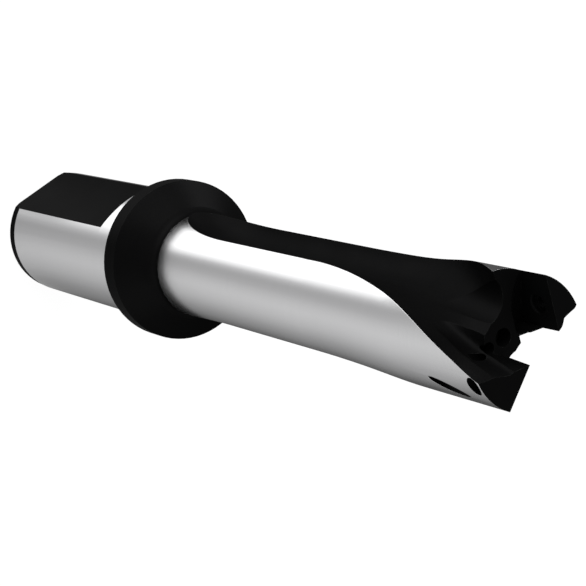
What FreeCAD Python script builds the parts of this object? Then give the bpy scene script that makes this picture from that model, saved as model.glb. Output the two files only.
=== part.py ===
import FreeCAD, Part
import math
import os

# Body of a short-hole drill that carries two screw-on cutting inserts.
# Millimetres. The axis is +Z, z = 0 is the rear face of the shank and the
# cutting end is up. The clamping flat of the shank faces +Y.

os.makedirs("parts", exist_ok=True)

V = FreeCAD.Vector
Z_AXIS = V(0, 0, 1)
ORIGIN = V(0, 0, 0)

# Clearance past a face, so that a cut passes right through it.
over = 3.0
# Reach of a cut across the whole body and out of it.
across = 16.0

# Shank with one clamping flat
shank_diameter = 25.0
shank_length = 50.0
shank_across_flat = 23.0
flat_length = 41.2
flat_runout_angle = 45.0
lead_in_diameter = 24.7
lead_in_length = 2.7
lead_in_taper = 0.5
rear_corner = 0.65

# Stop flange
flange_diameter = 30.0
flange_rim_width = 4.1
flange_rim_edge = 0.25
flange_cone_angle = 45.0
flange_fillet_radius = 3.0

# Body in front of the flange: a slim neck that swells to the head
reach = 105.1
neck_diameter = 19.2
head_diameter = 20.1
swell_start_behind_front = 46.1
swell_end_behind_front = 21.1

# Chip flutes: round troughs, straight in the neck, turning in the head
flute_angle = 64.85
flute_half_angle = 38.3
flute_web_radius = 3.47
flute_full_depth_behind_front = 75.1
flute_runout_radius = 35.0
flute_runout_lift = 0.3
flute_straight_to_front = 49.1
flute_turn_start_behind_front = 39.1
flute_turn_end_behind_front = 9.1
flute_turn_rate = 2.6
flute_widening = 5.45
flute_widening_turn = 2.75
flute_widening_start_behind_front = 45.1
flute_widening_end_behind_front = 25.1
flute_head_web_radius = 3.2
flute_section_step = 4.0
flute_tip_zone = 5.6
flute_tip_widening = 4.0
flute_tip_web_radius = 1.6
far_flute_turn_end_behind_front = 7.1

# Recess between the two arms: its floor is flat and runs out to the outer pocket
recess_depth = 5.6
recess_floor_end_from_axis = 2.8

# Arm that carries the inner insert: the floor of its pocket and its back
inner_floor_angle = 301.3
inner_floor_from_axis = 1.854
inner_floor_edge_at_recess = -2.2
inner_floor_edge_at_front = -2.57
inner_back_at_recess = (-3.93, 0.48)
inner_back_at_front = (-4.1, -2.05)
inner_back_open_at_recess = (-5.5, 2.5)
inner_back_open_at_front = (-6.0, -0.2)
inner_pocket_depth = 9.3
inner_pocket_height = 5.0
inner_pocket_wall_tilt = 8.0
inner_screw_from_axis = 4.55
inner_screw_behind_front = 5.35
inner_screw_depth = 6.3

# Gullet in the back of that arm, from its run-out to the front face
gullet_length = 16.2
gullet_runout = ((-4.4, 4.85), (-3.6, 4.5), (-2.9, 4.15), (-2.2, 3.83), (-1.5, 3.5))
gullet_at_recess = ((-7.3, 2.55), (-5.7, 0.85), (-4.0, 0.4), (-2.75, 2.1), (-1.1, 3.0))
gullet_at_front = ((-7.5, -0.55), (-5.7, -1.6), (-4.2, -2.05), (-3.2, -0.4), (-1.6, 0.6))

# Round scoop in each flute, behind the recess: its centre at the recess floor
# and the way its axis leans
scoop_radius = 3.77
scoop_centre = (-0.59, 6.84)
scoop_lean = (-0.133, -0.003)
scoop_length = 14.0

# Gullet in the back of the arm that carries the outer insert: its run-out, its
# trace where the side wall of the pocket ends, and its trace at the front face
outer_gullet_length = 12.1
outer_gullet_runout = ((10.6, -11.0), (9.3, -8.5), (8.2, -6.9), (7.0, -5.6), (5.5, -4.6), (3.5, -4.2))
outer_gullet_at_wall = ((10.6, -3.0), (9.3, -2.9), (8.2, -2.6), (7.0, -2.3), (5.5, -1.87), (3.5, -2.0))
outer_gullet_at_front = ((10.5, 0.4), (8.86, -0.59), (7.6, -0.48), (6.5, -1.42), (5.48, -1.83), (3.5, -2.3))

# Arm that carries the outer insert: floor, rear wall and side wall of its pocket
outer_floor_angle = 167.2
outer_floor_from_axis = 5.76
outer_wall_behind_front = 8.5
outer_wall_tilt = 18.9
outer_wall_draft = 26.6
outer_wall_hollow = 0.35
outer_wall_top_from_axis = 2.45
outer_side_wall = 0.45
outer_side_wall_height = 1.8
outer_side_wall_length = 4.9
outer_screw_offset = 3.15
outer_screw_behind_front = 3.5

# Threaded holes of the insert screws, M2.5, each with a chamfered counterbore
screw_hole_diameter = 2.05
screw_counterbore_diameter = 2.9
screw_counterbore_depth = 0.9
screw_hole_mouth_diameter = 3.3

# Hole on the axis in the floor of the recess
axial_hole_diameter = 2.8
axial_hole_depth = 3.0
drill_point_angle = 118.0

# Coolant: bore in the shank, duct to the recess, duct to the outside of the head
coolant_bore_diameter = 10.0
coolant_bore_depth = 48.0
coolant_bore_chamfer = 0.5
recess_duct_diameter = 2.0
recess_duct_centre = (-3.0, 0.1)
side_duct_diameter = 2.0
side_duct_angle = 195.1
side_duct_behind_front = 8.6
side_duct_slope = 0.26
side_duct_sweep = 0.28
side_duct_length = 24.0

# Short round hole in the outside of the arm of the inner insert
pin_hole_diameter = 2.5
pin_hole_angle = 182.9
pin_hole_lean = 40.0
pin_hole_behind_front = 1.55
pin_hole_depth = 3.0

shank_r = shank_diameter / 2
flange_r = flange_diameter / 2
neck_r = neck_diameter / 2
head_r = head_diameter / 2
front_z = shank_length + reach
recess_z = front_z - recess_depth


def smooth_step(value, start, end):
    t = min(max((value - start) / (end - start), 0.0), 1.0)
    return t * t * (3 - 2 * t)


def body_radius(z):
    swell = smooth_step(z, front_z - swell_start_behind_front, front_z - swell_end_behind_front)
    return neck_r + (head_r - neck_r) * swell


def closed_wire(points, z):
    loop = [V(x, y, z) for x, y in points]
    return Part.makePolygon(loop + loop[:1])


def turned(shape, angle):
    copy = shape.copy()
    copy.rotate(ORIGIN, Z_AXIS, angle)
    return copy


def turned_body():
    lead_r = lead_in_diameter / 2
    rim_front = shank_length + flange_rim_width
    slope = math.tan(math.radians(flange_cone_angle))
    cone_foot_z = rim_front + (flange_r - neck_r) / slope
    # The fillet touches the cone and the neck at the same distance from
    # the corner where the two would meet.
    touch = flange_fillet_radius * math.tan(math.radians(flange_cone_angle / 2))
    cone = math.radians(flange_cone_angle)
    cone_dir = V(math.sin(cone), 0, -math.cos(cone))
    corner = V(neck_r, 0, cone_foot_z)
    fillet_cone = corner + cone_dir * touch
    fillet_neck = corner + V(0, 0, touch)
    fillet_centre = fillet_neck + V(flange_fillet_radius, 0, 0)
    to_corner = (corner - fillet_centre).normalize()
    fillet_mid = fillet_centre + to_corner * flange_fillet_radius
    swell_start = front_z - swell_start_behind_front
    swell_end = front_z - swell_end_behind_front
    third = (swell_end - swell_start) / 3
    swell = Part.BezierCurve()
    swell.setPoles([
        V(neck_r, 0, swell_start),
        V(neck_r, 0, swell_start + third),
        V(head_r, 0, swell_end - third),
        V(head_r, 0, swell_end),
    ])
    outline = [
        V(0, 0, 0),
        V(lead_r - rear_corner, 0, 0),
        V(lead_r, 0, rear_corner),
        V(lead_r, 0, lead_in_length),
        V(shank_r, 0, lead_in_length + lead_in_taper),
        V(shank_r, 0, flat_length),
        V(shank_r, 0, shank_length),
        V(flange_r - flange_rim_edge, 0, shank_length),
        V(flange_r, 0, shank_length + flange_rim_edge),
        V(flange_r, 0, rim_front),
        fillet_cone,
    ]
    edges = [Part.makeLine(a, b) for a, b in zip(outline, outline[1:])]
    edges += [
        Part.Arc(fillet_cone, fillet_mid, fillet_neck).toShape(),
        Part.makeLine(fillet_neck, V(neck_r, 0, swell_start)),
        swell.toShape(),
        Part.makeLine(V(head_r, 0, swell_end), V(head_r, 0, front_z)),
        Part.makeLine(V(head_r, 0, front_z), V(0, 0, front_z)),
        Part.makeLine(V(0, 0, front_z), V(0, 0, 0)),
    ]
    return Part.Face(Part.Wire(edges)).revolve(ORIGIN, Z_AXIS, 360)


def flat_cut():
    flat_y = shank_across_flat - shank_r
    rise = shank_r + over - flat_y
    run = rise / math.tan(math.radians(flat_runout_angle))
    profile = [
        V(-across, flat_y, -over),
        V(-across, flat_y, flat_length),
        V(-across, flat_y + rise, flat_length + run),
        V(-across, flat_y + rise, -over),
    ]
    face = Part.Face(Part.makePolygon(profile + profile[:1]))
    return face.extrude(V(2 * across, 0, 0))


def trough_size(r, half_angle, web):
    # Distance from the axis and radius of the circle that leaves the given
    # web and meets the outside at that angle to each side of its own middle.
    centre = (r ** 2 - web ** 2) / (2 * (r * math.cos(math.radians(half_angle)) - web))
    return centre, centre - web


def trough_middle(z, angle, centre):
    a = math.radians(angle)
    return V(centre * math.cos(a), centre * math.sin(a), z)


def trough_circle(z, angle, centre, radius):
    middle = trough_middle(z, angle, centre)
    edge = Part.Circle(middle, Z_AXIS, radius).toShape()
    edge.rotate(middle, Z_AXIS, angle)
    return Part.Wire([edge])


def head_trough(z):
    turn_start = front_z - flute_turn_start_behind_front
    turn_end = front_z - flute_turn_end_behind_front
    length = turn_end - turn_start
    t = min(max((z - turn_start) / length, 0.0), 1.0)
    angle = flute_angle + flute_turn_rate * length * (t ** 3 - t ** 4 / 2)
    angle += flute_turn_rate * max(z - turn_end, 0.0)
    widening = smooth_step(
        z, front_z - flute_widening_start_behind_front, front_z - flute_widening_end_behind_front)
    tip = smooth_step(z, front_z - flute_tip_zone, front_z)
    angle += flute_widening_turn * widening
    half_angle = flute_half_angle + flute_widening * widening + flute_tip_widening * tip
    web = flute_web_radius + (flute_head_web_radius - flute_web_radius) * widening
    web += (flute_tip_web_radius - flute_head_web_radius) * tip
    centre, radius = trough_size(body_radius(z), half_angle, web)
    return angle, centre, radius


def neck_flute_cuts():
    # The trough runs out of the neck on an arc and goes straight on to the head.
    deep_z = front_z - flute_full_depth_behind_front
    head_z = front_z - flute_straight_to_front
    centre, radius = trough_size(neck_r, flute_half_angle, flute_web_radius)
    climb = neck_r + flute_runout_lift - flute_web_radius
    sweep = math.degrees(math.acos(1 - climb / flute_runout_radius))
    pivot = trough_middle(deep_z, flute_angle, flute_web_radius + flute_runout_radius)
    a = math.radians(flute_angle)
    disc = Part.Face(trough_circle(deep_z, flute_angle, centre, radius))
    runout = disc.revolve(pivot, V(math.sin(a), -math.cos(a), 0), sweep)
    middle = trough_middle(deep_z, flute_angle, centre)
    straight = Part.makeCylinder(radius, head_z - deep_z, middle, Z_AXIS)
    return [runout, straight]


def head_flute_cut(end_z):
    head_z = front_z - flute_straight_to_front
    steps = math.ceil((end_z - head_z) / flute_section_step)
    step = (end_z - head_z) / steps
    sections = [
        trough_circle(head_z + i * step, *head_trough(head_z + i * step))
        for i in range(steps + 1)
    ]
    return Part.makeLoft(sections, True, False)


def far_flute_end():
    # Beside the outer pocket the far flute goes on without turning.
    end_z = front_z - far_flute_turn_end_behind_front
    angle, centre, radius = head_trough(end_z)
    middle = trough_middle(end_z, angle, centre)
    return Part.makeCylinder(radius, front_z + over - end_z, middle, Z_AXIS)


def scoop_cut():
    way = V(scoop_lean[0], scoop_lean[1], 1).normalize()
    floor_point = V(scoop_centre[0], scoop_centre[1], recess_z)
    length = scoop_length + recess_depth + over
    return Part.makeCylinder(scoop_radius, length, floor_point - way * scoop_length, way)


def gullet_wire(trace, z, open_y):
    # Smooth line through the trace, closed on the open side of the gullet.
    p = [V(x, y, z) for x, y in trace]
    curve = Part.BSplineCurve()
    curve.interpolate(p)
    first_corner = V(p[0].x, open_y, z)
    last_corner = V(p[-1].x, open_y, z)
    return Part.Wire([
        curve.toShape(),
        Part.makeLine(p[-1], last_corner),
        Part.makeLine(last_corner, first_corner),
        Part.makeLine(first_corner, p[0]),
    ])


def inner_gullet_cut():
    return Part.makeLoft([
        gullet_wire(gullet_runout, front_z - gullet_length, across),
        gullet_wire(gullet_at_recess, recess_z, across),
        gullet_wire(gullet_at_front, front_z, across),
    ], True, True)


def outer_gullet_cut():
    wall_end_z = front_z - outer_wall_behind_front + outer_side_wall_length
    return Part.makeLoft([
        gullet_wire(outer_gullet_runout, front_z - outer_gullet_length, -across),
        gullet_wire(outer_gullet_at_wall, wall_end_z, -across),
        gullet_wire(outer_gullet_at_front, front_z, -across),
    ], True, True)


def on_floor(normal_angle, normal, along):
    # Point given by its distance from the axis along the normal of a pocket
    # floor and its place along that floor.
    a = math.radians(normal_angle)
    return (
        normal * math.cos(a) - along * math.sin(a),
        normal * math.sin(a) + along * math.cos(a),
    )


def outer_wall_height(from_axis):
    # Height of the sloping rear wall of the outer pocket, at its side wall.
    rise = outer_floor_from_axis - from_axis
    return front_z - outer_wall_behind_front + rise * math.tan(math.radians(outer_wall_draft))


def recess_cut():
    # Everything above the recess floor goes, but for the two arms.
    ridge = -outer_wall_top_from_axis
    floor = -outer_floor_from_axis
    sides = []
    for z, back, back_open, edge in (
        (recess_z, inner_back_at_recess, inner_back_open_at_recess, inner_floor_edge_at_recess),
        (front_z, inner_back_at_front, inner_back_open_at_front, inner_floor_edge_at_front),
    ):
        points = [
            back,
            on_floor(inner_floor_angle, inner_floor_from_axis, edge),
            on_floor(inner_floor_angle, inner_floor_from_axis, -across),
            (0, -2 * across),
            on_floor(outer_floor_angle, ridge, across),
            on_floor(outer_floor_angle, ridge, outer_side_wall),
            on_floor(outer_floor_angle, floor, outer_side_wall),
            on_floor(outer_floor_angle, floor, -across),
            (back_open[0], across),
            back_open,
        ]
        sides.append(closed_wire(points, z))
    return Part.makeLoft(sides, True, True)


def prism(points, along, length, rise, normal_angle):
    # Outline in the plane of floor normal and axis, drawn out along the floor.
    loop = [V(n, along, z) for n, z in points]
    face = Part.Face(Part.makePolygon(loop + loop[:1]))
    return turned(face.extrude(V(0, length, rise)), normal_angle)


def outer_pocket_cuts():
    floor = -outer_floor_from_axis
    wall_z = front_z - outer_wall_behind_front
    shoulder = floor + outer_side_wall_height
    top = -outer_wall_top_from_axis
    foot_point = V(floor, outer_side_wall, wall_z)
    top_point = V(top, outer_side_wall, outer_wall_height(outer_wall_top_from_axis))
    draft = math.radians(outer_wall_draft)
    sag = V(math.sin(draft), 0, -math.cos(draft)) * outer_wall_hollow
    front_top = V(top, outer_side_wall, front_z + over)
    front_floor = V(floor, outer_side_wall, front_z + over)
    profile = Part.Wire([
        Part.Arc(foot_point, (foot_point + top_point) / 2 + sag, top_point).toShape(),
        Part.makeLine(top_point, front_top),
        Part.makeLine(front_top, front_floor),
        Part.makeLine(front_floor, foot_point),
    ])
    climb = across * math.tan(math.radians(outer_wall_tilt))
    seat = Part.Face(profile).extrude(V(0, -across, climb))
    above = prism([
        (shoulder, wall_z),
        (floor, wall_z + outer_side_wall_length),
        (floor, front_z + over),
        (top, front_z + over),
        (top, recess_z),
        (-recess_floor_end_from_axis, recess_z),
    ], outer_side_wall, across, 0, outer_floor_angle)
    return [turned(seat, outer_floor_angle), above]


def inner_pocket_cut():
    # Space on the floor, in front of a rear wall that leans back to the axis.
    floor = inner_floor_from_axis
    wall_z = front_z - inner_pocket_depth
    return prism([
        (floor, wall_z),
        (floor + inner_pocket_height, wall_z),
        (floor + inner_pocket_height, front_z + over),
        (floor, front_z + over),
    ], inner_floor_edge_at_recess, -across, across * math.tan(math.radians(inner_pocket_wall_tilt)),
        inner_floor_angle)


def hole(start, way, diameter, length):
    return Part.makeCylinder(diameter / 2, length, start, way)


def screw_hole_cut(normal_angle, floor, along, z, depth):
    x, y = on_floor(normal_angle, floor, along)
    a = math.radians(normal_angle)
    out = V(math.cos(a), math.sin(a), 0)
    mouth = V(x, y, z)
    bore = hole(mouth + out * over, out * -1, screw_hole_diameter, depth + over)
    counterbore = hole(
        mouth + out * over, out * -1, screw_counterbore_diameter, screw_counterbore_depth + over)
    chamfer_depth = (screw_hole_mouth_diameter - screw_counterbore_diameter) / 2
    chamfer = Part.makeCone(
        screw_hole_mouth_diameter / 2, screw_counterbore_diameter / 2, chamfer_depth, mouth, out * -1)
    return [bore, counterbore, chamfer]


def screw_hole_cuts():
    inner = screw_hole_cut(
        inner_floor_angle, inner_floor_from_axis, -inner_screw_from_axis,
        front_z - inner_screw_behind_front, inner_screw_depth)
    outer = screw_hole_cut(
        outer_floor_angle, -outer_floor_from_axis, -outer_screw_offset,
        front_z - outer_screw_behind_front, across)
    return inner + outer


def drilled(z, diameter, depth):
    r = diameter / 2
    point = r / math.tan(math.radians(drill_point_angle / 2))
    return [
        Part.makeCylinder(r, depth + over, V(0, 0, z + over), Z_AXIS * -1),
        Part.makeCone(r, 0, point, V(0, 0, z - depth), Z_AXIS * -1),
    ]


def coolant_cuts():
    bore_r = coolant_bore_diameter / 2
    point = bore_r / math.tan(math.radians(drill_point_angle / 2))
    bore = Part.makeCylinder(bore_r, coolant_bore_depth + over, V(0, 0, -over), Z_AXIS)
    bore_point = Part.makeCone(bore_r, 0, point, V(0, 0, coolant_bore_depth), Z_AXIS)
    chamfer = Part.makeCone(bore_r + coolant_bore_chamfer, bore_r, coolant_bore_chamfer, ORIGIN, Z_AXIS)
    x, y = recess_duct_centre
    to_recess = hole(
        V(x, y, coolant_bore_depth - over), Z_AXIS, recess_duct_diameter,
        front_z + over - coolant_bore_depth)
    a = math.radians(side_duct_angle)
    radial = V(math.cos(a), math.sin(a), 0)
    sweep = V(-math.sin(a), math.cos(a), 0)
    mouth = radial * head_r + V(0, 0, front_z - side_duct_behind_front)
    way = (Z_AXIS + radial * side_duct_slope + sweep * side_duct_sweep).normalize()
    bend = mouth - way * side_duct_length
    to_side = hole(bend, way, side_duct_diameter, side_duct_length + 2 * over)
    reach_back = math.hypot(bend.x, bend.y)
    entry = V(bend.x, bend.y, 0) * ((bore_r - side_duct_diameter / 2) / reach_back)
    entry.z = coolant_bore_depth - over
    feed = hole(entry, bend - entry, side_duct_diameter, (bend - entry).Length)
    joint = Part.makeSphere(side_duct_diameter / 2, bend)
    return [bore, bore_point, chamfer, to_recess, to_side, feed, joint]


def pin_hole_cut():
    a = math.radians(pin_hole_angle)
    mouth = V(head_r * math.cos(a), head_r * math.sin(a), front_z - pin_hole_behind_front)
    lean = math.radians(pin_hole_angle - pin_hole_lean)
    way = V(math.cos(lean), math.sin(lean), 0)
    return hole(mouth - way * pin_hole_depth, way, pin_hole_diameter, pin_hole_depth + over)


def drill_body():
    body = turned_body()
    body = body.cut(flat_cut())
    near = neck_flute_cuts() + [head_flute_cut(front_z)]
    far = neck_flute_cuts()
    far.append(head_flute_cut(front_z - far_flute_turn_end_behind_front))
    far.append(far_flute_end())
    scoop = scoop_cut()
    steps = near + [turned(cutter, 180) for cutter in far]
    steps += [inner_gullet_cut(), outer_gullet_cut(), recess_cut()]
    steps += [scoop, turned(scoop, 180), inner_pocket_cut()]
    steps += outer_pocket_cuts()
    steps += screw_hole_cuts()
    steps += drilled(recess_z, axial_hole_diameter, axial_hole_depth)
    steps += coolant_cuts()
    steps.append(pin_hole_cut())
    for cutter in steps:
        body = body.cut(cutter)
    return body


drill_body().exportStep("parts/drill_body.step")
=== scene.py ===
import bpy
import math
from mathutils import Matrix, Quaternion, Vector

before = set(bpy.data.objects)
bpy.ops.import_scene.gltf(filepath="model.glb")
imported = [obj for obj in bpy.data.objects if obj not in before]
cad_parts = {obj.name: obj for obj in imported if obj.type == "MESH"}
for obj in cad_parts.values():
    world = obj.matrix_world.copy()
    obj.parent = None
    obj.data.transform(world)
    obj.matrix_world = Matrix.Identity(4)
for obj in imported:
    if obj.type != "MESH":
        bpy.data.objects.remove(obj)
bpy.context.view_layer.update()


# The drill body: one piece of hardened tool steel, turned on its axis, with two milled
# flutes and the seats of two inserts. The shank and the outside of the neck and head are
# cylindrically ground bright, and the rest keeps the near-black finish of the heat treatment.

BODY = "drill_body"
# Where the grinding starts and ends along the axis, and the radius that it leaves.
REAR_BAND_END = 0.0027
FLANGE_START = 0.0500
NECK_START = 0.0612
SHANK_RADIUS = 0.0125
NECK_RADIUS = 0.0096
GROUND_DEPTH = 0.00025
# The grinding shows where the surface faces nearly straight out from the axis.
FACES_OUT = (0.982, 0.992)
GROUND_COLOURS = ((0.48, 0.48, 0.485, 1), (0.56, 0.56, 0.565, 1))
GROUND_ROUGHNESS = (0.16, 0.24)
# The scratches are short along the axis and long round it.
GROUND_LINE_SCALE = (120.0, 120.0, 9000.0)
GROUND_LINE_DETAIL = 5.0
GROUND_LINE_ROUGHNESS = 0.7
BLACK_COLOURS = ((0.0048, 0.0048, 0.0049, 1), (0.0066, 0.0066, 0.0067, 1))
BLACK_ROUGHNESS = (0.36, 0.46)
BLACK_METAL = 0.5
EDGE_TINT = (0.5, 0.5, 0.5, 1)
# Scale and detail of the speckle and of the soft cloud.
BLACK_GRAIN = (4200.0, 3.0)
BLACK_CLOUD = (160.0, 4.0)
# Sharp edges of the black finish are lightened: partly worn edges, partly a painted edge glint.
WORN_AND_GLINT_COLOUR = (0.05, 0.05, 0.05, 1)
ROUNDED_EDGE_WIDTH = 0.00012
WORN_AND_GLINT_SHARE = 0.35
ROUNDED_EDGE_SAMPLES = 6
WORN_AND_GLINT_PATCH_SCALE = 900.0
WORN_AND_GLINT_PATCH_DETAIL = 4.0
WORN_AND_GLINT_PATCHES = (0.35, 0.65)
# An edge counts as sharp where its rounded normal leaves the face's by this much.
EDGE_BEND = (0.02, 0.12)
BUMP_STRENGTH = 0.12
BUMP_HEIGHT = 0.00002


def add_socket(group, name, kind, inward=True):
    side = "INPUT" if inward else "OUTPUT"
    group.interface.new_socket(name=name, in_out=side, socket_type=kind)


def math_node(nodes, links, operation, first, second=None, third=None, clamp=False):
    node = nodes.new("ShaderNodeMath")
    node.operation = operation
    node.use_clamp = clamp
    for index, value in enumerate((first, second, third)):
        if value is None:
            continue
        if isinstance(value, (int, float)):
            node.inputs[index].default_value = value
        else:
            links.new(value, node.inputs[index])
    return node.outputs[0]


def step_up(nodes, links, value, low, high):
    node = nodes.new("ShaderNodeMapRange")
    node.interpolation_type = "SMOOTHSTEP"
    links.new(value, node.inputs["Value"])
    node.inputs["From Min"].default_value = low
    node.inputs["From Max"].default_value = high
    return node.outputs["Result"]


def ground_surface_group():
    """1 where the surface was ground about the axis, 0 elsewhere."""
    group = bpy.data.node_groups.new("ground_about_axis", "ShaderNodeTree")
    add_socket(group, "Position", "NodeSocketVector")
    add_socket(group, "Surface Normal", "NodeSocketVector")
    add_socket(group, "Ground", "NodeSocketFloat", inward=False)
    nodes, links = group.nodes, group.links
    inward = nodes.new("NodeGroupInput")
    outward = nodes.new("NodeGroupOutput")
    place = nodes.new("ShaderNodeSeparateXYZ")
    links.new(inward.outputs["Position"], place.inputs[0])
    normal = nodes.new("ShaderNodeSeparateXYZ")
    links.new(inward.outputs["Surface Normal"], normal.inputs[0])
    x, y, z = place.outputs
    x_part = math_node(nodes, links, "MULTIPLY", x, normal.outputs[0])
    y_part = math_node(nodes, links, "MULTIPLY_ADD", y, normal.outputs[1], x_part)
    x_square = math_node(nodes, links, "MULTIPLY", x, x)
    square = math_node(nodes, links, "MULTIPLY_ADD", y, y, x_square)
    radius = math_node(nodes, links, "SQRT", square)
    outward_share = math_node(nodes, links, "DIVIDE", y_part, radius)
    faces_out = step_up(nodes, links, outward_share, *FACES_OUT)
    shank_start = math_node(nodes, links, "GREATER_THAN", z, REAR_BAND_END)
    shank_end = math_node(nodes, links, "LESS_THAN", z, FLANGE_START)
    shank = math_node(nodes, links, "MULTIPLY", shank_start, shank_end)
    on_shank = math_node(nodes, links, "GREATER_THAN", radius, SHANK_RADIUS - GROUND_DEPTH)
    shank = math_node(nodes, links, "MULTIPLY", shank, on_shank)
    neck = math_node(nodes, links, "GREATER_THAN", z, NECK_START)
    on_neck = math_node(nodes, links, "GREATER_THAN", radius, NECK_RADIUS - GROUND_DEPTH)
    neck = math_node(nodes, links, "MULTIPLY", neck, on_neck)
    either = math_node(nodes, links, "MAXIMUM", shank, neck)
    ground = math_node(nodes, links, "MULTIPLY", either, faces_out)
    links.new(ground, outward.inputs["Ground"])
    return group


def edge_wear_and_glint_group():
    """Mask of sharp outer edges, broken up by a fine noise: partly worn edges, partly a painted
    edge glint.
    """
    group = bpy.data.node_groups.new("edge_wear_and_glint", "ShaderNodeTree")
    add_socket(group, "Position", "NodeSocketVector")
    add_socket(group, "Width", "NodeSocketFloat")
    add_socket(group, "Amount", "NodeSocketFloat")
    add_socket(group, "Wear And Glint", "NodeSocketFloat", inward=False)
    add_socket(group, "Rounded Normal", "NodeSocketVector", inward=False)
    nodes, links = group.nodes, group.links
    inward = nodes.new("NodeGroupInput")
    outward = nodes.new("NodeGroupOutput")
    bevel = nodes.new("ShaderNodeBevel")
    bevel.samples = ROUNDED_EDGE_SAMPLES
    links.new(inward.outputs["Width"], bevel.inputs["Radius"])
    geometry = nodes.new("ShaderNodeNewGeometry")
    dot = nodes.new("ShaderNodeVectorMath")
    dot.operation = "DOT_PRODUCT"
    links.new(bevel.outputs["Normal"], dot.inputs[0])
    links.new(geometry.outputs["Normal"], dot.inputs[1])
    bent = math_node(nodes, links, "SUBTRACT", 1.0, dot.outputs["Value"])
    edge = step_up(nodes, links, bent, *EDGE_BEND)
    noise = nodes.new("ShaderNodeTexNoise")
    noise.inputs["Scale"].default_value = WORN_AND_GLINT_PATCH_SCALE
    noise.inputs["Detail"].default_value = WORN_AND_GLINT_PATCH_DETAIL
    links.new(inward.outputs["Position"], noise.inputs["Vector"])
    patch = step_up(nodes, links, noise.outputs["Fac"], *WORN_AND_GLINT_PATCHES)
    worn_and_glint = math_node(nodes, links, "MULTIPLY", edge, patch)
    worn_and_glint = math_node(nodes, links, "MULTIPLY", worn_and_glint, inward.outputs["Amount"], clamp=True)
    links.new(worn_and_glint, outward.inputs["Wear And Glint"])
    links.new(bevel.outputs["Normal"], outward.inputs["Rounded Normal"])
    return group


def grinding_lines_group():
    """Fine scratches that run round the axis, as a centreless or cylindrical grinder leaves."""
    group = bpy.data.node_groups.new("grinding_lines", "ShaderNodeTree")
    add_socket(group, "Position", "NodeSocketVector")
    add_socket(group, "Lines", "NodeSocketFloat", inward=False)
    nodes, links = group.nodes, group.links
    inward = nodes.new("NodeGroupInput")
    outward = nodes.new("NodeGroupOutput")
    stretch = nodes.new("ShaderNodeMapping")
    stretch.inputs["Scale"].default_value = GROUND_LINE_SCALE
    links.new(inward.outputs["Position"], stretch.inputs["Vector"])
    fine = nodes.new("ShaderNodeTexNoise")
    fine.inputs["Scale"].default_value = 1.0
    fine.inputs["Detail"].default_value = GROUND_LINE_DETAIL
    fine.inputs["Roughness"].default_value = GROUND_LINE_ROUGHNESS
    links.new(stretch.outputs["Vector"], fine.inputs["Vector"])
    links.new(fine.outputs["Fac"], outward.inputs["Lines"])
    return group


def dark_grain_group():
    """Fine speckle and soft cloud of a blackened, milled surface."""
    group = bpy.data.node_groups.new("blackened_grain", "ShaderNodeTree")
    add_socket(group, "Position", "NodeSocketVector")
    add_socket(group, "Grain", "NodeSocketFloat", inward=False)
    add_socket(group, "Cloud", "NodeSocketFloat", inward=False)
    nodes, links = group.nodes, group.links
    inward = nodes.new("NodeGroupInput")
    outward = nodes.new("NodeGroupOutput")
    for socket, (scale, detail) in (("Grain", BLACK_GRAIN), ("Cloud", BLACK_CLOUD)):
        noise = nodes.new("ShaderNodeTexNoise")
        noise.inputs["Scale"].default_value = scale
        noise.inputs["Detail"].default_value = detail
        links.new(inward.outputs["Position"], noise.inputs["Vector"])
        links.new(noise.outputs["Fac"], outward.inputs[socket])
    return group


def group_node(nodes, group):
    node = nodes.new("ShaderNodeGroup")
    node.node_tree = group
    return node


def blend_value(nodes, links, factor, first, second):
    node = nodes.new("ShaderNodeMapRange")
    links.new(factor, node.inputs["Value"])
    for name, value in (("To Min", first), ("To Max", second)):
        if isinstance(value, (int, float)):
            node.inputs[name].default_value = value
        else:
            links.new(value, node.inputs[name])
    return node.outputs["Result"]


def blend_colour(nodes, links, factor, first, second):
    node = nodes.new("ShaderNodeMix")
    node.data_type = "RGBA"
    links.new(factor, node.inputs[0])
    for index, value in ((6, first), (7, second)):
        if isinstance(value, tuple):
            node.inputs[index].default_value = value
        else:
            links.new(value, node.inputs[index])
    return node.outputs[2]


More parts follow.
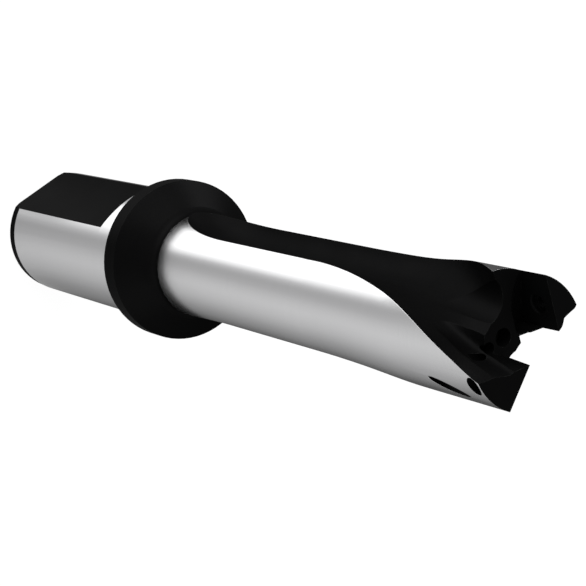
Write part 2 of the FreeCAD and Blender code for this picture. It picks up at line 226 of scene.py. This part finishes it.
def two_finish_steel():
    material = bpy.data.materials.new("ground_and_blackened_steel")
    material.use_nodes = True
    nodes, links = material.node_tree.nodes, material.node_tree.links
    nodes.clear()
    output = nodes.new("ShaderNodeOutputMaterial")
    surface = nodes.new("ShaderNodeBsdfPrincipled")
    links.new(surface.outputs["BSDF"], output.inputs["Surface"])
    where = nodes.new("ShaderNodeTexCoord")
    ground = group_node(nodes, ground_surface_group())
    links.new(where.outputs["Object"], ground.inputs["Position"])
    links.new(where.outputs["Normal"], ground.inputs["Surface Normal"])
    wear_and_glint = group_node(nodes, edge_wear_and_glint_group())
    wear_and_glint.inputs["Width"].default_value = ROUNDED_EDGE_WIDTH
    wear_and_glint.inputs["Amount"].default_value = WORN_AND_GLINT_SHARE
    links.new(where.outputs["Object"], wear_and_glint.inputs["Position"])
    lines = group_node(nodes, grinding_lines_group())
    links.new(where.outputs["Object"], lines.inputs["Position"])
    grain = group_node(nodes, dark_grain_group())
    links.new(where.outputs["Object"], grain.inputs["Position"])
    ground_mask = ground.outputs["Ground"]
    bright = blend_colour(nodes, links, lines.outputs["Lines"], *GROUND_COLOURS)
    black = blend_colour(nodes, links, grain.outputs["Cloud"], *BLACK_COLOURS)
    # Lighten the sharp black edges: partly wear, partly a painted glint.
    worn_and_glint = blend_colour(nodes, links, wear_and_glint.outputs["Wear And Glint"], black, WORN_AND_GLINT_COLOUR)
    colour = blend_colour(nodes, links, ground_mask, worn_and_glint, bright)
    links.new(colour, surface.inputs["Base Color"])
    metal = blend_value(nodes, links, ground_mask, BLACK_METAL, 1.0)
    links.new(metal, surface.inputs["Metallic"])
    surface.inputs["Specular IOR Level"].default_value = 0.0
    surface.inputs["Specular Tint"].default_value = EDGE_TINT
    bright_rough = blend_value(nodes, links, lines.outputs["Lines"], *GROUND_ROUGHNESS)
    black_rough = blend_value(nodes, links, grain.outputs["Grain"], *BLACK_ROUGHNESS)
    rough = blend_value(nodes, links, ground_mask, black_rough, bright_rough)
    links.new(rough, surface.inputs["Roughness"])
    height = blend_value(nodes, links, ground_mask,
                         grain.outputs["Grain"], lines.outputs["Lines"])
    bump = nodes.new("ShaderNodeBump")
    bump.inputs["Strength"].default_value = BUMP_STRENGTH
    bump.inputs["Distance"].default_value = BUMP_HEIGHT
    links.new(height, bump.inputs["Height"])
    links.new(wear_and_glint.outputs["Rounded Normal"], bump.inputs["Normal"])
    links.new(bump.outputs["Normal"], surface.inputs["Normal"])
    return material


body = bpy.data.objects[BODY]
steel = two_finish_steel()
for slot in body.material_slots:
    slot.material = steel


# The studio: a plain white paper floor that the shank stands on, under a soft white
# surround with three broad lamps. For glossy rays alone the floor glows with a painted
# reflection, whose brightness changes with the angle round the part and is greatest where it
# stands in for a long window.

FLOOR_HALF = 3.0
PAPER_COLOUR = (0.8, 0.8, 0.8, 1)
# Share of the plain white that the camera sees in place of the lit paper, and its strength.
SEEN_SHARE = 0.85
SEEN_STRENGTH = 1.12
SKY_SEEN = 1.0
SKY_LIGHT = 0.4
WHITE = (1, 1, 1, 1)
# Brightness of the painted reflection, the glow of the paper that glossy rays alone see, by the
# angle round the axis.
PAINTED_REFLECTION_BY_ANGLE = (
    (0, 0.22), (30, 0.75), (50, 1.0), (58, 1.1), (65, 2.8), (106, 2.8), (116, 1.87), (126, 0.92),
    (136, 0.73), (148, 0.79), (160, 0.96), (170, 1.07), (181, 1.14), (194, 1.09), (207, 1.02),
    (221, 0.89), (237, 0.73), (256, 0.60), (270, 0.40), (284, 0.2), (320, 0.12), (360, 0.22))
PAINTED_REFLECTION_PEAK = 2.8
# Close to the shank the painted reflection is no brighter than this. The full pattern starts
# further out.
PAINTED_REFLECTION_NEAR_SHANK = 1.12
PAINTED_REFLECTION_REACH = (0.022, 0.036)
# Close to the shank the pattern winds on, since the mirrored view starts off the axis.
VIEW_ANGLE = math.radians(134)
MIRROR_RADIUS = 0.0118
MOST_WINDING = 0.9
FULL_TURN = 2 * math.pi


def painted_reflection_group():
    """Brightness of the painted reflection that the floor paper glows with, by the angle of the
    place round the vertical axis.
    """
    group = bpy.data.node_groups.new("painted_reflection_on_floor", "ShaderNodeTree")
    add_socket(group, "Position", "NodeSocketVector")
    add_socket(group, "Brightness", "NodeSocketFloat", inward=False)
    nodes, links = group.nodes, group.links
    inward = nodes.new("NodeGroupInput")
    outward = nodes.new("NodeGroupOutput")
    place = nodes.new("ShaderNodeSeparateXYZ")
    links.new(inward.outputs["Position"], place.inputs[0])
    angle = math_node(nodes, links, "ARCTAN2", place.outputs[1], place.outputs[0])
    angle = math_node(nodes, links, "WRAP", angle, FULL_TURN, 0.0)
    x_square = math_node(nodes, links, "MULTIPLY", place.outputs[0], place.outputs[0])
    square = math_node(nodes, links, "MULTIPLY_ADD", place.outputs[1], place.outputs[1], x_square)
    distance = math_node(nodes, links, "SQRT", square)
    near = math_node(nodes, links, "DIVIDE", MIRROR_RADIUS, distance)
    near = math_node(nodes, links, "MINIMUM", near, MOST_WINDING)
    half = math_node(nodes, links, "SUBTRACT", VIEW_ANGLE, angle)
    half = math_node(nodes, links, "MULTIPLY", half, 0.5)
    wind = math_node(nodes, links, "SINE", half)
    wind = math_node(nodes, links, "MULTIPLY", wind, near)
    turn = math_node(nodes, links, "SUBTRACT", angle, wind)
    turn = math_node(nodes, links, "DIVIDE", turn, FULL_TURN)
    share = math_node(nodes, links, "WRAP", turn, 1.0, 0.0)
    ramp = nodes.new("ShaderNodeValToRGB")
    ramp.color_ramp.interpolation = "EASE"
    elements = ramp.color_ramp.elements
    while len(elements) < len(PAINTED_REFLECTION_BY_ANGLE):
        elements.new(0.5)
    for element, (degrees, value) in zip(elements, PAINTED_REFLECTION_BY_ANGLE):
        element.position = degrees / 360
        level = value / PAINTED_REFLECTION_PEAK
        element.color = (level, level, level, 1)
    links.new(share, ramp.inputs["Fac"])
    scaled = math_node(nodes, links, "MULTIPLY", ramp.outputs["Color"], PAINTED_REFLECTION_PEAK)
    window_reach = step_up(nodes, links, distance, *PAINTED_REFLECTION_REACH)
    most = blend_value(nodes, links, window_reach, PAINTED_REFLECTION_NEAR_SHANK, PAINTED_REFLECTION_PEAK)
    level = math_node(nodes, links, "MINIMUM", scaled, most)
    links.new(level, outward.inputs["Brightness"])
    return group


def floor_material():
    material = bpy.data.materials.new("white_floor")
    material.use_nodes = True
    nodes, links = material.node_tree.nodes, material.node_tree.links
    nodes.clear()
    output = nodes.new("ShaderNodeOutputMaterial")
    paper = nodes.new("ShaderNodeBsdfDiffuse")
    paper.inputs["Color"].default_value = PAPER_COLOUR
    where = nodes.new("ShaderNodeTexCoord")
    painted_reflection = group_node(nodes, painted_reflection_group())
    links.new(where.outputs["Object"], painted_reflection.inputs["Position"])
    # The paper glows with the painted reflection, which glossy rays alone see.
    painted_reflection_glow = nodes.new("ShaderNodeEmission")
    painted_reflection_glow.inputs["Strength"].default_value = 1.0
    links.new(painted_reflection.outputs["Brightness"], painted_reflection_glow.inputs["Color"])
    seen_glow = nodes.new("ShaderNodeEmission")
    seen_glow.inputs["Color"].default_value = WHITE
    seen_glow.inputs["Strength"].default_value = SEEN_STRENGTH
    light_path = nodes.new("ShaderNodeLightPath")
    camera_ray = light_path.outputs["Is Camera Ray"]
    seen_share = math_node(nodes, links, "MULTIPLY", camera_ray, SEEN_SHARE)
    seen = nodes.new("ShaderNodeMixShader")
    links.new(seen_share, seen.inputs[0])
    links.new(paper.outputs[0], seen.inputs[1])
    links.new(seen_glow.outputs[0], seen.inputs[2])
    # Glossy rays see the painted reflection in place of the lit paper.
    painted_reflection_mix = nodes.new("ShaderNodeMixShader")
    links.new(light_path.outputs["Is Glossy Ray"], painted_reflection_mix.inputs[0])
    links.new(seen.outputs[0], painted_reflection_mix.inputs[1])
    links.new(painted_reflection_glow.outputs[0], painted_reflection_mix.inputs[2])
    links.new(painted_reflection_mix.outputs[0], output.inputs["Surface"])
    return material


mesh = bpy.data.meshes.new("floor")
mesh.from_pydata([(-FLOOR_HALF, -FLOOR_HALF, 0), (FLOOR_HALF, -FLOOR_HALF, 0),
                  (FLOOR_HALF, FLOOR_HALF, 0), (-FLOOR_HALF, FLOOR_HALF, 0)], [], [(0, 1, 2, 3)])
floor = bpy.data.objects.new("floor", mesh)
bpy.context.scene.collection.objects.link(floor)
mesh.materials.append(floor_material())

world = bpy.data.worlds.new("white_surround")
bpy.context.scene.world = world
world.use_nodes = True
nodes, links = world.node_tree.nodes, world.node_tree.links
nodes.clear()
output = nodes.new("ShaderNodeOutputWorld")
seen_sky = nodes.new("ShaderNodeBackground")
seen_sky.inputs["Color"].default_value = WHITE
seen_sky.inputs["Strength"].default_value = SKY_SEEN
soft_sky = nodes.new("ShaderNodeBackground")
soft_sky.inputs["Color"].default_value = WHITE
soft_sky.inputs["Strength"].default_value = SKY_LIGHT
light_path = nodes.new("ShaderNodeLightPath")
mix = nodes.new("ShaderNodeMixShader")
links.new(light_path.outputs["Is Camera Ray"], mix.inputs[0])
links.new(soft_sky.outputs[0], mix.inputs[1])
links.new(seen_sky.outputs[0], mix.inputs[2])
links.new(mix.outputs[0], output.inputs["Surface"])

# The lamps stand round the middle of the part: direction, distance, width, height, watts.
CENTRE = Vector((0, 0, 0.078))
LAMPS = {
    "window_side": ((0.25, 0.9, 0.7), 1.1, 0.9, 0.9, 6.5),
    "fill_side": ((-0.9, -0.35, 0.35), 1.2, 0.8, 0.8, 2.0),
    "low_side": ((0.95, 0.29, 0.12), 1.2, 0.7, 0.5, 8.0),
}


def soft_lamp(name, direction, distance, width, height, power):
    data = bpy.data.lights.new(name, "AREA")
    data.shape = "RECTANGLE"
    data.size = width
    data.size_y = height
    data.energy = power
    lamp = bpy.data.objects.new(name, data)
    bpy.context.scene.collection.objects.link(lamp)
    away = Vector(direction).normalized()
    lamp.location = CENTRE + away * distance
    lamp.rotation_mode = "QUATERNION"
    lamp.rotation_quaternion = away.to_track_quat("Z", "Y")


for name, values in LAMPS.items():
    soft_lamp(name, *values)

# The camera has the photograph's viewing angle and frame.
CAMERA_PLACE = (-0.115996, 0.123874, 0.353098)
CAMERA_TURN = Quaternion((0.9185178, -0.1451743, -0.2451438, -0.2741424))
SENSOR_WIDTH = 36.0
LENS = 112.264
CLIP_START = 0.01

camera_data = bpy.data.cameras.new("camera")
camera = bpy.data.objects.new("camera", camera_data)
bpy.context.scene.collection.objects.link(camera)
camera.location = CAMERA_PLACE
camera.rotation_mode = "QUATERNION"
camera.rotation_quaternion = CAMERA_TURN
camera_data.sensor_width = SENSOR_WIDTH
camera_data.lens = LENS
camera_data.clip_start = CLIP_START
bpy.context.scene.camera = camera

bpy.context.scene.view_settings.view_transform = "Standard"
